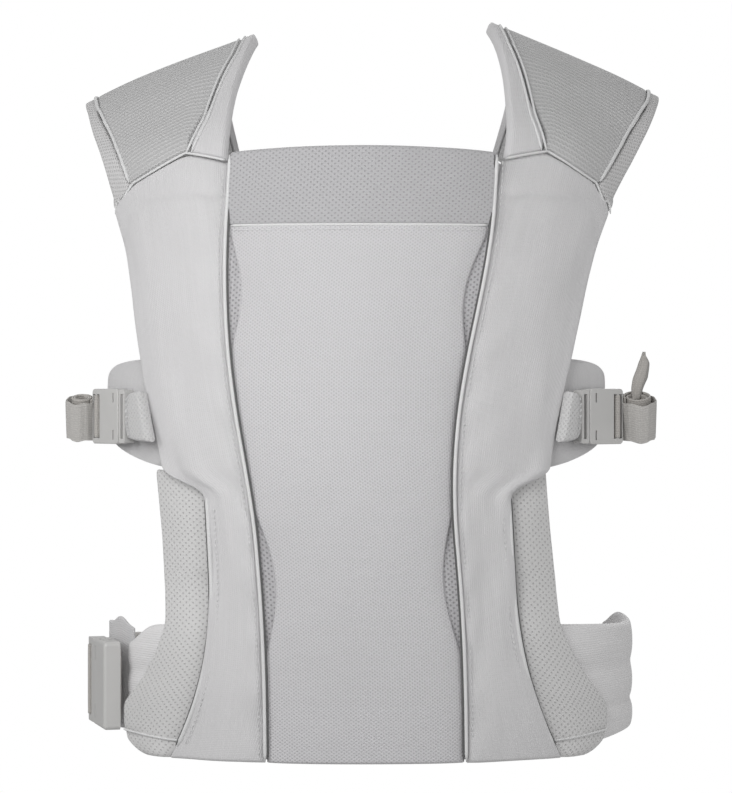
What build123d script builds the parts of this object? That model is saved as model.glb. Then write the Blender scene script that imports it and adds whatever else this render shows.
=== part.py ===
from build123d import *
import math
import os

os.makedirs("parts", exist_ok=True)

# Soft baby carrier as it sits on a wearer who faces -Y.
# +Z is up, +X is the wearer's left, and the origin is on the wearer's own
# vertical axis at the level of the belt's lower edge. Millimetres.

# --- wearer's body, which every fabric layer wraps as an ellipse in plan ---
torso_half_width = 182.0
torso_half_depth = 122.0
chest_set_back = 16.0        # how far the chest slopes back towards the neck
chest_start = 220.0
chest_end = 420.0

# --- layers, measured outwards from the body ---
skin = 3.0                   # innermost face of every pad
seam_gap = 0.5               # clear gap between two sewn pieces
lining_thickness = 1.6
belt_foam_thickness = 5.4
belt_cover_thickness = 1.4
panel_thickness = 6.0
band_thickness = 6.5
bolster_thickness = 9.0
piping_height = 2.2
piping_width = 3.4

# --- heights ---
hem_height = 1.0
head_seam_height = 371.0
head_support_height = 51.0
band_top_height = 396.0
leg_opening_top = 202.0
leg_hem_height = 184.0
belt_front_height = 94.0
belt_side_low = 12.0
belt_side_high = 90.0
belt_short_end = -61.0       # angles round the body where the belt's two wings end
belt_long_end = 110.0

# --- outlines of the front, as half widths ---
panel_low_half_width = 68.5
panel_top_half_width = 92.0
panel_flare_start = 150.0
panel_flare_end = 385.0
front_lean = 13.0            # the front hangs a little towards the wearer's right
lean_height = 250.0
lean_spread = 120.0
band_lean_share = 0.6
band_hem_half_width = 134.0
band_flare = 0.2
band_top_flare = 5.0         # extra spread where the band meets the shoulder strap
leg_half_width = 104.5
leg_foot_half_width = 136.0
leg_curve_height = 130.0
leg_curve_power = 2.2
vent_depth = 11.0
upper_vent = (284.0, 366.0)
lower_vent = (76.0, 171.0)
lining_margin = 9.0
bolster_in_half_width = 90.0
bolster_out_half_width = 135.0
leg_panel_top = 99.0
leg_panel_half_width = 137.5
leg_panel_foot_half_width = 170.0
leg_panel_foot_height = 36.0
leg_panel_corner = 20.0
leg_panel_thickness = 5.0
wing_reach = 176.0
wing_root_half_width = 112.0
wing_low = 202.0
wing_high = 279.0

# --- straps over the shoulders and down the back ---
strap_thickness = 11.0
strap_joint_gap = 3.0        # between the shoulder strap and the back strap sewn to it
strap_design_depth = 122.0   # torso half depth that the strap points below were chosen for
shoulder_shift = 4.5         # the tops of the straps sit a little towards the wearer's left
left_strap_rise = 1.07       # the left strap stands higher than the right one
back_strap_thickness = 8.0
back_strap_end_width = 44.0
under_strap_offset = 7.2
over_strap_offset = 16.6
strap_web_width = 30.0
waist_web_width = 50.0
web_thickness = 1.6

# --- buckles ---
side_buckle_reach = 167.5
side_buckle_height = 238.0
side_buckle_offset = 14.0
side_buckle = {"width": strap_web_width + 9.0, "thickness": 9.0, "web": strap_web_width,
               "base": 8.0, "body": 24.0, "frame": 11.0, "prong": 20.0, "wall": 1.6,
               "cover": 0.0, "round": 0.8}
waist_buckle_angle = -67.6
waist_buckle_lean = 15.856
waist_buckle_height = 48.0
waist_buckle_offset = 11.5
guard_thickness = 2.0
waist_buckle = {"width": waist_web_width + 12.0, "thickness": 12.0, "web": waist_web_width,
                "base": 20.0, "body": 35.0, "frame": 11.0, "prong": 30.0, "wall": 2.0,
                "cover": 2.2, "round": 2.6}
buckle_gap = 0.5
bar_width = 2.6
slot_width = 3.2
tab_half_width = 18.0

# --- webbing tails ---
right_roll_radius = 8.5
left_roll_radius = 10.5
keeper_wall = 1.2
keeper_clearance = 1.2
keeper_height = 27.0

SIDES = {"right": -1, "left": 1}


def ease(value):
    """Smooth step from 0 to 1."""
    t = min(max(value, 0.0), 1.0)
    return t * t * (3 - 2 * t)


def half_depth(offset, z):
    slope = ease((z - chest_start) / (chest_end - chest_start))
    return torso_half_depth + offset - chest_set_back * slope


def torso(angle, offset, z):
    """Point on the body ellipse; the angle in degrees runs from the front to +X."""
    a = math.radians(angle)
    return Vector((torso_half_width + offset) * math.sin(a), -half_depth(offset, z) * math.cos(a), z)


def angle_at(x, offset):
    share = min(max(x / (torso_half_width + offset), -1.0), 1.0)
    return math.degrees(math.asin(share))


def lean(z):
    return -front_lean * math.exp(-(((z - lean_height) / lean_spread) ** 2))


def panel_half(z):
    flare = ease((z - panel_flare_start) / (panel_flare_end - panel_flare_start))
    return panel_low_half_width + (panel_top_half_width - panel_low_half_width) * flare


def seam_x(side, z):
    """Line of the long piping between the centre panel and a side band."""
    return side * panel_half(z) + lean(z)


def vent(z):
    """How far the panel's edge is cut back at the two vents."""
    for low, high in (upper_vent, lower_vent):
        if low < z < high:
            return vent_depth * math.sin(math.pi * (z - low) / (high - low))
    return 0.0


def band_half(z):
    if z >= leg_opening_top:
        top = band_top_flare * ease((z - band_top_height + 46) / 60)
        return band_hem_half_width + band_flare * (z - leg_opening_top) + top
    curve = leg_half_width
    if z < leg_curve_height:
        drop = (leg_curve_height - z) / leg_curve_height
        curve += (leg_foot_half_width - leg_half_width) * drop ** leg_curve_power
    if z > leg_hem_height:
        share = (z - leg_hem_height) / (leg_opening_top - leg_hem_height)
        curve += (band_hem_half_width - leg_half_width) * share
    return curve


def band_x(side, z):
    return side * band_half(z) + band_lean_share * lean(z)


def leg_panel_half(z):
    """Outer edge of the mesh panel beside the leg opening, which spreads at its foot."""
    spread = leg_panel_foot_half_width - leg_panel_half_width
    share = (leg_panel_top - z) / (leg_panel_top - leg_panel_foot_height)
    half = leg_panel_half_width + spread * min(max(share, 0.0), 1.0) ** 1.6
    if z < leg_panel_corner:
        half -= leg_panel_corner * ((leg_panel_corner - z) / leg_panel_corner) ** 2.5
    return half


def heights(low, high, step=15.0):
    """Shared grid of heights, so that neighbouring pieces keep their gap."""
    grid = [n * step for n in range(int(low // step) + 1, int(high // step) + 1) if n * step < high - 2]
    return [low] + [z for z in grid if z > low + 2] + [high]


def slab(edge_a, edge_b, inner, outer, levels, columns=6):
    """Closed plate on the body between two edge curves x(z)."""
    sections = []
    for z in levels:
        first = angle_at(min(edge_a(z), edge_b(z)), outer)
        last = angle_at(max(edge_a(z), edge_b(z)), outer)
        angles = [first + (last - first) * i / columns for i in range(columns + 1)]
        front = [torso(a, outer, z) for a in angles]
        back = [torso(a, inner, z) for a in reversed(angles)]
        outline = Spline(*front) + Line(front[-1], back[0]) + Spline(*back) + Line(back[-1], front[0])
        sections.append(make_face(outline))
    return loft(sections, ruled=True)


def wrap(stations):
    """Strip around the body; each station is (angle, low, high, inner, outer)."""
    rings = []
    for angle, low, high, inner, outer in stations:
        near = torso(angle, inner, low)
        far = torso(angle, outer, low)
        rings.append((near, far, Vector(far.X, far.Y, high), Vector(near.X, near.Y, high)))
    faces = [Face(Wire.make_polygon(ring, close=True)) for ring in (rings[0], rings[-1])]
    for first, second in zip(rings, rings[1:]):
        for i in range(4):
            j = (i + 1) % 4
            for corners in ((first[i], second[i], second[j]), (first[i], second[j], first[j])):
                faces.append(Face(Wire.make_polygon(corners, close=True)))
    return Solid(Shell(faces))


def strip(edges, thickness, flat_ends=(False, False)):
    """Strap through pairs of edge points, with its thickness across them."""
    middles = [(a + b) * 0.5 for a, b in edges]
    sections = []
    for i, (a, b) in enumerate(edges):
        ahead = middles[min(i + 1, len(edges) - 1)] - middles[max(i - 1, 0)]
        normal = (b - a).cross(ahead)
        if (i == 0 and flat_ends[0]) or (i == len(edges) - 1 and flat_ends[1]):
            normal = Vector(normal.X, normal.Y, 0)
        step = normal.normalized() * (thickness / 2)
        sections.append(make_face(Polyline(a + step, b + step, b - step, a - step, close=True)))
    return loft(sections, ruled=True)


def save(name, solid, color):
    solid.label = name
    solid.color = Color(*color)
    export_step(solid, f"parts/{name}.step")


PALE = (0.80, 0.80, 0.80)
MESH = (0.66, 0.66, 0.67)
SEAM = (0.88, 0.88, 0.88)
WEBBING = (0.58, 0.56, 0.54)
PLASTIC = (0.70, 0.70, 0.69)

# --- offsets of the layers ---
belt_out = skin + lining_thickness + belt_foam_thickness + belt_cover_thickness + 2 * 0.3
lining_in = belt_out + seam_gap
panel_in = lining_in + lining_thickness + 0.3
piping_in = panel_in + max(band_thickness, panel_thickness) + 0.3


def make_panel():
    """Centre panel with vents, its mesh lining, the head support and the long pipings."""
    levels = heights(hem_height, head_seam_height)
    inset = piping_width / 4
    panel = slab(lambda z: seam_x(-1, z) + inset + vent(z), lambda z: seam_x(1, z) - inset - vent(z),
                 panel_in, panel_in + panel_thickness, levels)
    save("centre_panel", panel, PALE)
    lining = slab(lambda z: seam_x(-1, z) - lining_margin, lambda z: seam_x(1, z) + lining_margin,
                  lining_in, lining_in + lining_thickness, levels)
    save("panel_lining", lining, MESH)
    head_low = head_seam_height + seam_gap
    head_top = head_seam_height + head_support_height
    head = slab(lambda z: seam_x(-1, z) + 1.5, lambda z: seam_x(1, z) - 1.5,
                lining_in, panel_in + panel_thickness, heights(head_low, head_top))
    save("head_support", head, MESH)


def make_front_side(name, side):
    """Side band, leg bolster, pipings, buckle wing and shoulder strap of one side."""
    inset = piping_width / 4
    levels = heights(hem_height, band_top_height)
    band = slab(lambda z: seam_x(side, z) + side * inset, lambda z: band_x(side, z),
                panel_in, panel_in + band_thickness, levels)
    save(f"{name}_side_band", band, PALE)
    half = piping_width / 2
    piping = slab(lambda z: seam_x(side, z) - half, lambda z: seam_x(side, z) + half,
                  piping_in, piping_in + piping_height, heights(hem_height, head_seam_height - 1), 2)
    save(f"{name}_panel_piping", piping, SEAM)
    leg = slab(lambda z: band_x(side, z) - side * piping_width, lambda z: band_x(side, z),
               piping_in, piping_in + piping_height, heights(hem_height + 8, leg_hem_height - 2), 2)
    save(f"{name}_leg_piping", leg, SEAM)
    bolster = slab(lambda z: side * bolster_in_half_width + lean(z),
                   lambda z: side * bolster_out_half_width + lean(z),
                   skin, skin + bolster_thickness, heights(belt_front_height + seam_gap, leg_opening_top - 1))
    save(f"{name}_leg_bolster", bolster, MESH)
    leg_panel = slab(lambda z: band_x(side, z) + side * seam_gap,
                     lambda z: side * leg_panel_half(z) + lean(z),
                     panel_in, panel_in + leg_panel_thickness, heights(hem_height, leg_panel_top, 8.0))
    save(f"{name}_leg_panel", leg_panel, MESH)

    middle = (wing_low + wing_high) / 2
    half_height = (wing_high - wing_low) / 2

    def wing_edge(z):
        rounding = abs((z - middle) / half_height) ** 3
        return side * (wing_reach - 26 * rounding) + band_lean_share * lean(z)

    wing = slab(lambda z: side * wing_root_half_width + band_lean_share * lean(z), wing_edge,
                skin, skin + bolster_thickness - 1, heights(wing_low, wing_high, 8.0))
    save(f"{name}_buckle_wing", wing, PALE)


def shoulder_edges(side, blade):
    """Inner and outer edge of the shoulder strap, from the chest over to the shoulder blade.

    The points are given from the band's top edge: out, back and up.
    """
    foot = band_top_height + seam_gap
    offset = panel_in + band_thickness / 2
    inner = [torso(angle_at(panel_half(foot) + 1, offset), offset, foot)]
    outer = [torso(angle_at(band_half(foot), offset), offset, foot)]
    depth = torso_half_depth / strap_design_depth
    climb = left_strap_rise if side > 0 else 1.0
    shifts = [side * shoulder_shift * share for share in (0.3, 0.7, 1.0, 1.0, 1.0, 0.5)]
    inside = [(97, -93, 36), (95, -58, 74), (89, -28, 102), (84, 2, 117), (92, 36, 111), (106, 70, 84)]
    outside = [(188, -52, 22), (198, -34, 42), (205, -16, 58), (208, 6, 66), (199, 34, 60), (180, 58, 38)]
    for (x, y, rise), shift in zip(inside, shifts):
        inner.append(Vector(x + shift, y * depth, band_top_height + rise * climb))
    for (x, y, rise), shift in zip(outside, shifts):
        outer.append(Vector(x + shift, y * depth, band_top_height + rise * climb))
    for points, end in ((inner, blade[0]), (outer, blade[1])):
        points.append(end + (points[-1] - end).normalized() * strap_joint_gap)
    return list(zip(inner, outer))


def make_shoulder(name, side):
    """Shoulder strap and back strap of one side; returns the back strap's far end."""
    # The wearer's left strap crosses over the right one at the spine.
    crossing = over_strap_offset if side > 0 else under_strap_offset
    top = band_top_height
    route = [(124, top + 18, 12.0), (98, top - 18, (12.0 + crossing) / 2), (64, top - 50, crossing),
             (24, top - 76, crossing), (-18, top - 98, crossing), (-60, top - 116, crossing),
             (-98, top - 131, (9.0 + crossing) / 2), (-124, top - 142, 9.0)]
    widths = [66.0, 64.0, 62.0, 60.0, 58.0, 54.0, 48.0, back_strap_end_width]
    pairs = []
    for i, ((x, z, offset), width) in enumerate(zip(route, widths)):
        before = route[max(i - 1, 0)]
        after = route[min(i + 1, len(route) - 1)]
        run = math.hypot(after[0] - before[0], after[1] - before[1])
        across_x = -(after[1] - before[1]) / run * width / 2
        across_z = (after[0] - before[0]) / run * width / 2
        ends = []
        for sign in (1, -1):
            px = x + sign * across_x
            pz = z + sign * across_z
            spot = torso(angle_at(px, offset), offset, pz)
            ends.append(Vector(spot.X, -spot.Y, pz))
        pairs.append(sorted(ends, key=lambda point: -point.Z))
    shoulder = shoulder_edges(side, pairs[0])
    mirrored = [[Vector(p.X * side, p.Y, p.Z) for p in pair] for pair in shoulder]
    save(f"{name}_shoulder_strap", strip(mirrored, strap_thickness, (True, False)), MESH)
    pairs = [[Vector(p.X * side, p.Y, p.Z) for p in pair] for pair in pairs]
    save(f"{name}_back_strap", strip(pairs, back_strap_thickness), PALE)
    return pairs[-1]


def side_frame(side):
    """Local frame of a side buckle: X along the pull, Z outwards from the body."""
    x = side * side_buckle_reach + band_lean_share * lean(side_buckle_height)
    angle = angle_at(x, side_buckle_offset)
    middle = torso(angle, side_buckle_offset, side_buckle_height)
    a = math.radians(angle)
    pull = Vector(side * math.cos(a) * (torso_half_width + side_buckle_offset),
                  side * math.sin(a) * half_depth(side_buckle_offset, side_buckle_height), 0).normalized()
    out = Vector(math.sin(a) * half_depth(side_buckle_offset, side_buckle_height),
                 -math.cos(a) * (torso_half_width + side_buckle_offset), 0).normalized()
    size = side_buckle
    length = size["base"] + buckle_gap + size["body"] + size["frame"]
    return Plane(origin=middle - pull * (length / 2), x_dir=pull, z_dir=out)


def waist_frame():
    """Local frame of the waist buckle: X points forwards, from the plug to the socket."""
    a = math.radians(abs(waist_buckle_angle))
    slope = math.atan2(half_depth(waist_buckle_offset, waist_buckle_height) * math.sin(a),
                       (torso_half_width + waist_buckle_offset) * math.cos(a))
    turn = slope + math.radians(waist_buckle_lean)
    forward = Vector(math.cos(turn), -math.sin(turn), 0)
    out = Vector(-math.sin(turn), -math.cos(turn), 0)
    middle = torso(waist_buckle_angle, waist_buckle_offset, waist_buckle_height)
    size = waist_buckle
    back = size["base"] + buckle_gap + (size["body"] + size["frame"]) / 2
    return Plane(origin=middle - forward * back, x_dir=forward, z_dir=out)


def block(u0, u1, v0, v1, w0, w1):
    return Pos((u0 + u1) / 2, (v0 + v1) / 2, (w0 + w1) / 2) * Box(u1 - u0, v1 - v0, w1 - w0)


def prong(size, sign):
    """One sprung arm of the plug, in the buckle's frame."""
    half = size["width"] / 2
    root = size["base"] + buckle_gap
    tip = root + size["prong"]
    window = root + size["body"] * 0.36
    pad_end = root + size["body"] * 0.72
    arm = half * 0.42
    points = [(root, arm), (root, arm + 3.6), (window + buckle_gap, half - size["wall"] - 3.4),
              (window + buckle_gap, half - 0.5), (pad_end - buckle_gap, half - 1.6),
              (tip, half - size["wall"] - 4.5), (tip, half - size["wall"] - 7.0), (window, arm + 0.6)]
    outline = Polyline(*[(u, sign * v) for u, v in points], close=True)
    thick = size["thickness"] - 2 * size["wall"] - 1.6
    return Pos(0, 0, size["thickness"] / 2) * extrude(make_face(outline), thick / 2, both=True)


def plug(size):
    """Plug base with its webbing slots and the guide tongue between the prongs."""
    half = size["width"] / 2
    base = size["base"]
    body = block(0, base, -half + 0.8, half - 0.8, 0.6, size["thickness"] - 0.6)
    body = fillet(body.edges().filter_by(Axis.Z), 1.6)
    slots = [bar_width]
    if base > 3 * slot_width + 2 * bar_width:
        slots.append(2 * bar_width + slot_width)
    for start in slots:
        body -= block(start, start + slot_width, -size["web"] / 2 - 0.6, size["web"] / 2 + 0.6,
                      -1, size["thickness"] + 1)
    middle = size["thickness"] / 2
    body += block(base - 1, base + size["prong"] * 0.8, -3, 3, middle - 1.4, middle + 1.4)
    return body


def socket(size):
    """Socket body with its mouth, side windows, front slots and webbing bar."""
    half = size["width"] / 2
    start = size["base"] + buckle_gap
    end = start + size["body"]
    last = end + size["frame"]
    thick = size["thickness"]
    wall = size["wall"]
    body = block(start, last, -half, half, 0, thick)
    body = fillet(body.edges().filter_by(Axis.Z), 3.0)
    body = fillet(body.faces().sort_by(Axis.Z)[-1].edges(), size["round"])
    body -= block(start - 1, end - wall, -half + wall, half - wall, wall, thick - wall)
    window = start + size["body"] * 0.36
    pad_end = start + size["body"] * 0.72
    for sign in (-1, 1):
        near = sign * (half - wall - 1)
        far = sign * (half + 1)
        body -= block(window, pad_end, min(near, far), max(near, far), wall, thick - wall)
        near = sign * half * 0.50
        far = sign * half * 0.84
        body -= block(window - 3.2, window - 1.6, min(near, far), max(near, far), thick - wall - 1, thick + 1)
    slot_half = size["web"] / 2 + 0.6
    # A covered socket hides its bar, and the webbing passes between the bar and the cover.
    top = thick - size["cover"] if size["cover"] else thick + 1
    for shift in (0.8, 0.8 + slot_width + bar_width):
        body -= block(end + shift, end + shift + slot_width, -slot_half, slot_half, -1, top)
    if size["cover"]:
        body -= block(end + 0.8, end + 0.8 + 2 * slot_width + bar_width, -slot_half, slot_half,
                      bar_height(size), top)
    return body


def bar_height(size):
    """Height of a socket's webbing bar above its inner face."""
    if size["cover"]:
        return size["thickness"] - size["cover"] - web_thickness - 1.0
    return size["thickness"]


def bar_loop(u, size, height):
    """Webbing turned around a bar whose middle is at u and which stands from 0 to the height."""
    web = size["web"]
    inner = bar_width / 2 + 0.25
    outer = inner + web_thickness * 0.55
    w = height / 2
    depth = height / 2 + 0.25
    ring = block(u - outer, u + outer, -web / 2, web / 2, w - depth - web_thickness, w + depth + web_thickness)
    return ring - block(u - inner, u + inner, -web, web, w - depth, w + depth)


def spiral(center_u, center_w, radius, height):
    """Webbing rolled up on itself, as one spiral strip."""
    turns = 2.25
    gap = web_thickness + 0.7
    count = 40
    outer_line = []
    inner_line = []
    for i in range(count + 1):
        swing = math.radians(200) + 2 * math.pi * turns * i / count
        r = radius - gap * turns * i / count
        outer_line.append((center_u + r * math.cos(swing), center_w + r * math.sin(swing)))
        r -= web_thickness
        inner_line.append((center_u + r * math.cos(swing), center_w + r * math.sin(swing)))
    outline = Polyline(*(outer_line + inner_line[::-1]), close=True)
    rolled = extrude(make_face(outline), height / 2, both=True)
    return Rot(90, 0, 0) * rolled


def make_side_buckle(name, side, strap_end):
    size = side_buckle
    frame = side_frame(side)
    upper = 1 if side > 0 else -1
    save(f"{name}_side_plug", frame.location * plug(size), PLASTIC)
    save(f"{name}_upper_prong", frame.location * prong(size, upper), PLASTIC)
    save(f"{name}_lower_prong", frame.location * prong(size, -upper), PLASTIC)
    save(f"{name}_side_socket", frame.location * socket(size), PLASTIC)

    # The tab reaches from the plug to just short of the band's outer edge.
    span = abs(frame.origin.X) - abs(band_x(side, side_buckle_height + tab_half_width)) - 2 * seam_gap
    reach = span / abs(frame.x_dir.X)
    tab = block(-reach, -0.4, -tab_half_width, tab_half_width, -1.5, size["thickness"] + 2.0)
    tab += block(-1, size["base"] - 0.6, -tab_half_width, tab_half_width,
                 size["thickness"] - 0.3, size["thickness"] + 2.0)
    save(f"{name}_buckle_tab", frame.location * tab, PALE)

    bar_u = size["base"] + buckle_gap + size["body"] + 0.8 + slot_width + bar_width / 2
    loop = bar_loop(bar_u, size, bar_height(size))
    frame_end = size["base"] + buckle_gap + size["body"] + size["frame"]
    radius = left_roll_radius if side > 0 else right_roll_radius
    roll_u = frame_end + 0.8 + radius + keeper_wall + keeper_clearance
    roll_w = 9.0
    save(f"{name}_webbing_roll", frame.location * spiral(roll_u, roll_w, radius, strap_web_width), WEBBING)
    save(f"{name}_webbing_loop", frame.location * loop, WEBBING)

    reach = radius + keeper_clearance
    lift = 2.5
    ring = Ellipse(reach + keeper_wall, reach + 2.3 + keeper_wall) - Ellipse(reach, reach + 2.3)
    ring = Rot(90, 0, 0) * extrude(ring, keeper_height / 2, both=True)
    save(f"{name}_keeper", frame.location * (Pos(roll_u, 0, roll_w + lift) * ring), WEBBING)

    # Webbing from the back strap round the ribs, under the roll, to the bar.
    dip = roll_w + lift - reach - 2.3 - keeper_wall - web_thickness / 2 - 0.8
    ends = [strap_end[0], strap_end[1]]
    start_angle = angle_at((ends[0].X + ends[1].X) / 2, 9.0)
    start_angle = side * 180 - start_angle
    stops = [start_angle - side * 4, side * 128, side * 116, side * 104, side * 93]
    drops = [14.5, 10.0, 5.0, 1.5, 0.0]
    pairs = []
    for angle, drop, offset in zip(stops, drops, [9.0, 10.0, 11.0, 12.0, 12.5]):
        spot = torso(angle, offset, side_buckle_height + drop)
        pairs.append((spot + Vector(0, 0, strap_web_width / 2), spot - Vector(0, 0, strap_web_width / 2)))
    for u, w in ((roll_u + 6, dip), (roll_u - 6, dip), (frame_end + 1.2, -1.6), (bar_u + 2.5, -1.6)):
        spot = frame.from_local_coords(Vector(u, 0, w))
        pairs.append((spot + Vector(0, 0, strap_web_width / 2), spot - Vector(0, 0, strap_web_width / 2)))
    save(f"{name}_strap_webbing", strip(pairs, web_thickness), WEBBING)


def make_free_tail():
    """End of the left webbing, which stands up out of its roll."""
    size = side_buckle
    frame = side_frame(1)
    frame_end = size["base"] + buckle_gap + size["body"] + size["frame"]
    roll_u = frame_end + 0.8 + left_roll_radius + keeper_wall + keeper_clearance
    low = strap_web_width / 2 + 0.6
    outline = Polyline((roll_u - 4, low), (roll_u + 4.5, low), (roll_u + 7.5, low + 14), (roll_u + 6.5, low + 24),
                       (roll_u + 3.5, low + 30), (roll_u + 1.0, low + 18), close=True)
    tail = Pos(0, 0, 9) * extrude(make_face(outline), web_thickness / 2, both=True)
    save("left_webbing_tail", frame.location * tail, WEBBING)


def belt_span():
    """Angles of the belt from its short wing, round the front, to its long wing."""
    return [belt_short_end] + [6.0 * n for n in range(-9, 18)] + [belt_long_end]


def belt_edges(angle):
    """Lower and upper edge of the belt at an angle."""
    side_share = ease((abs(angle) - 30) / 50)
    low = hem_height + 1 + (belt_side_low - hem_height - 1) * side_share
    high = belt_front_height + (belt_side_high - belt_front_height) * side_share
    taper = ease((-angle - 50) / 12) * 4
    rise = 4.0 * ease((angle - 80) / 25)
    return low + taper + rise, high - taper + rise


def make_belt():
    inner = skin
    for name, thickness, trim, color in (("belt_lining", lining_thickness, 0.0, MESH),
                                         ("belt_foam", belt_foam_thickness, 2.0, SEAM),
                                         ("belt_cover", belt_cover_thickness, 0.0, PALE)):
        stations = []
        for angle in belt_span():
            low, high = belt_edges(angle)
            stations.append((angle, low + trim, high - trim, inner, inner + thickness))
        save(f"waist_{name}", wrap(stations), color)
        inner += thickness + 0.3
    guard = []
    for angle in (-62.5, -68, -74, -80, -86, -92, -98, -104):
        crown = 6.0 * math.cos(math.radians((angle + 80) * 3))
        guard.append((angle, 18 - crown / 2, 84 + crown, skin, skin + guard_thickness))
    save("waist_buckle_guard", wrap(guard), PALE)


def make_waist_webbing():
    size = waist_buckle
    low = waist_buckle_height - waist_web_width / 2
    high = waist_buckle_height + waist_web_width / 2
    inner = belt_out + 0.4
    end = belt_long_end
    sewn = [(angle, low, high, inner, inner + web_thickness) for angle in (end - 12, end - 6, end)]
    sewn += [(end + 5, low, high, inner - 2.0, inner - 2.0 + web_thickness)]
    sewn += [(end + 10 + 6 * step, low, high, skin + 6.0, skin + 6.0 + web_thickness) for step in range(24)]
    save("waist_webbing", wrap(sewn), WEBBING)

    frame = waist_frame()
    u = bar_width * 1.5 + slot_width
    loop = bar_loop(u, size, size["thickness"])
    save("waist_webbing_loop", frame.location * loop, WEBBING)
    outer = skin + 6.0 + web_thickness + 0.8
    tail = [(angle, low, high, outer, outer + web_thickness) for angle in range(-104, -147, -6)]
    save("waist_webbing_tail", wrap(tail), WEBBING)

    # Elastic keeper round the webbing and its tail.
    middle = torso(-116, skin + 6.0 + web_thickness + 0.4, waist_buckle_height)
    a = math.radians(-116)
    out = Vector(math.sin(a) * half_depth(9, 0), -math.cos(a) * (torso_half_width + 9), 0).normalized()
    plane = Plane(origin=middle, x_dir=out.cross(Vector(0, 0, 1)), z_dir=out)
    keeper = block(-7, 7, -waist_web_width / 2 - 2.4, waist_web_width / 2 + 2.4, -4.6, 4.6)
    keeper -= block(-8, 8, -waist_web_width / 2 - 1.2, waist_web_width / 2 + 1.2, -3.4, 3.4)
    save("waist_keeper", plane.location * keeper, WEBBING)

    # Short sewn webbing that holds the socket; it turns back under the socket, over the guard.
    bar = size["base"] + buckle_gap + size["body"] + 0.8 + slot_width + bar_width / 2
    anchor = bar_loop(bar, size, bar_height(size))
    anchor += block(bar - 26, bar, -size["web"] / 2, size["web"] / 2, -web_thickness - 0.25, -0.25)
    save("waist_anchor_webbing", frame.location * anchor, WEBBING)


def make_waist_buckle():
    frame = waist_frame()
    save("waist_plug", frame.location * plug(waist_buckle), PLASTIC)
    save("waist_socket", frame.location * socket(waist_buckle), PLASTIC)
    save("waist_upper_prong", frame.location * prong(waist_buckle, 1), PLASTIC)
    save("waist_lower_prong", frame.location * prong(waist_buckle, -1), PLASTIC)


make_panel()
make_belt()
make_waist_buckle()
make_waist_webbing()
# Each back strap crosses the spine, so it ends at the buckle of the other side.
strap_ends = {-side: make_shoulder(name, side) for name, side in SIDES.items()}
for side_name, side_sign in SIDES.items():
    make_front_side(side_name, side_sign)
    make_side_buckle(side_name, side_sign, strap_ends[side_sign])
make_free_tail()
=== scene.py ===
"""Looks of the soft baby carrier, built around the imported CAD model.
"""
import math
from contextlib import contextmanager

import bmesh
import bpy
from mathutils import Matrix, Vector, noise


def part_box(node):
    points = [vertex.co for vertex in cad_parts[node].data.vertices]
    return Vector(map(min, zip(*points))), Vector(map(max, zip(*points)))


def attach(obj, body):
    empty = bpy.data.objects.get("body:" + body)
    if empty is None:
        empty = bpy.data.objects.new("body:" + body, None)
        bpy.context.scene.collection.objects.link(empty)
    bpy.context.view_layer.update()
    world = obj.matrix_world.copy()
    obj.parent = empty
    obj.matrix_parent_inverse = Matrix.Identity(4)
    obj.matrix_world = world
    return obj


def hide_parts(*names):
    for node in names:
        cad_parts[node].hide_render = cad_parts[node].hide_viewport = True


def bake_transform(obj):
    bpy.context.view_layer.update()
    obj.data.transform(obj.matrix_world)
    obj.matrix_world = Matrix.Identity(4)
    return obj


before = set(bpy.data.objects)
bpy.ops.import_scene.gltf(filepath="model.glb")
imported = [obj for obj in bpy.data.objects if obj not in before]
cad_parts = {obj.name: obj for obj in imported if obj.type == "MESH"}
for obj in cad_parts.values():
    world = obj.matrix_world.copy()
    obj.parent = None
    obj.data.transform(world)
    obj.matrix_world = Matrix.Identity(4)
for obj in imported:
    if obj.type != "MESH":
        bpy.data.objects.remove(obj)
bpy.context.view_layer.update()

MM = 0.001
SIDES = {"right": -1, "left": 1}

# Wearer's body and the outlines, as in the CAD model.
TORSO_HALF_WIDTH = 182.0
TORSO_HALF_DEPTH = 122.0
CHEST_SET_BACK = 16.0
CHEST_START = 220.0
CHEST_END = 420.0
LEAN = 13.0
LEAN_HEIGHT = 250.0
LEAN_SPREAD = 120.0
EDGE_LEAN = 0.6
PANEL_LOW = 68.5
PANEL_TOP = 92.0
PANEL_CURVE_START = 150.0
PANEL_CURVE_LENGTH = 235.0
BAND_HEM = 134.0
BAND_FLARE = 0.2
BAND_TOP_FLARE = 5.0
BAND_TOP_START = 350.0
BAND_TOP_LENGTH = 60.0
LEG_HALF = 104.5
LEG_FOOT = 136.0
LEG_CURVE = 130.0
LEG_TOP = 202.0
LEG_HEM = 184.0
LEG_EDGE = 137.5
LEG_SPREAD = 170.0
LEG_ROUND = 20.0
UPPER_VENT = (284.0, 366.0)
LOWER_VENT = (76.0, 171.0)
VENT_DEPTH = 11.0


def box_mm(node):
    """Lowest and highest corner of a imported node."""
    low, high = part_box(node)
    return low / MM, high / MM


SEAM_Z = box_mm("centre_panel")[1].z
HEAD_TOP = box_mm("head_support")[1].z
HEM_Z = box_mm("centre_panel")[0].z
BAND_TOP = box_mm("right_side_band")[1].z

# Distances of the layers from the body.
BELT_OUT = 12.0
LINING_IN = 12.5
PANEL_IN = 14.4
HEAD_MIDDLE = 16.4
BAND_MIDDLE = 17.6

# Webbing and buckles, as in the CAD model.
SIDE_WEB = 30.0
SIDE_HEIGHT = 238.0
SIDE_OFFSET = 14.0
SIDE_X = 167.5
WAIST_WEB = 50.0
WAIST_HEIGHT = 48.0
WAIST_OFFSET = 11.5
WAIST_ANGLE = -67.6
WAIST_TURN = 75.0
WAIST_MIDDLE = 43.5
BAR = 1.3

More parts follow.
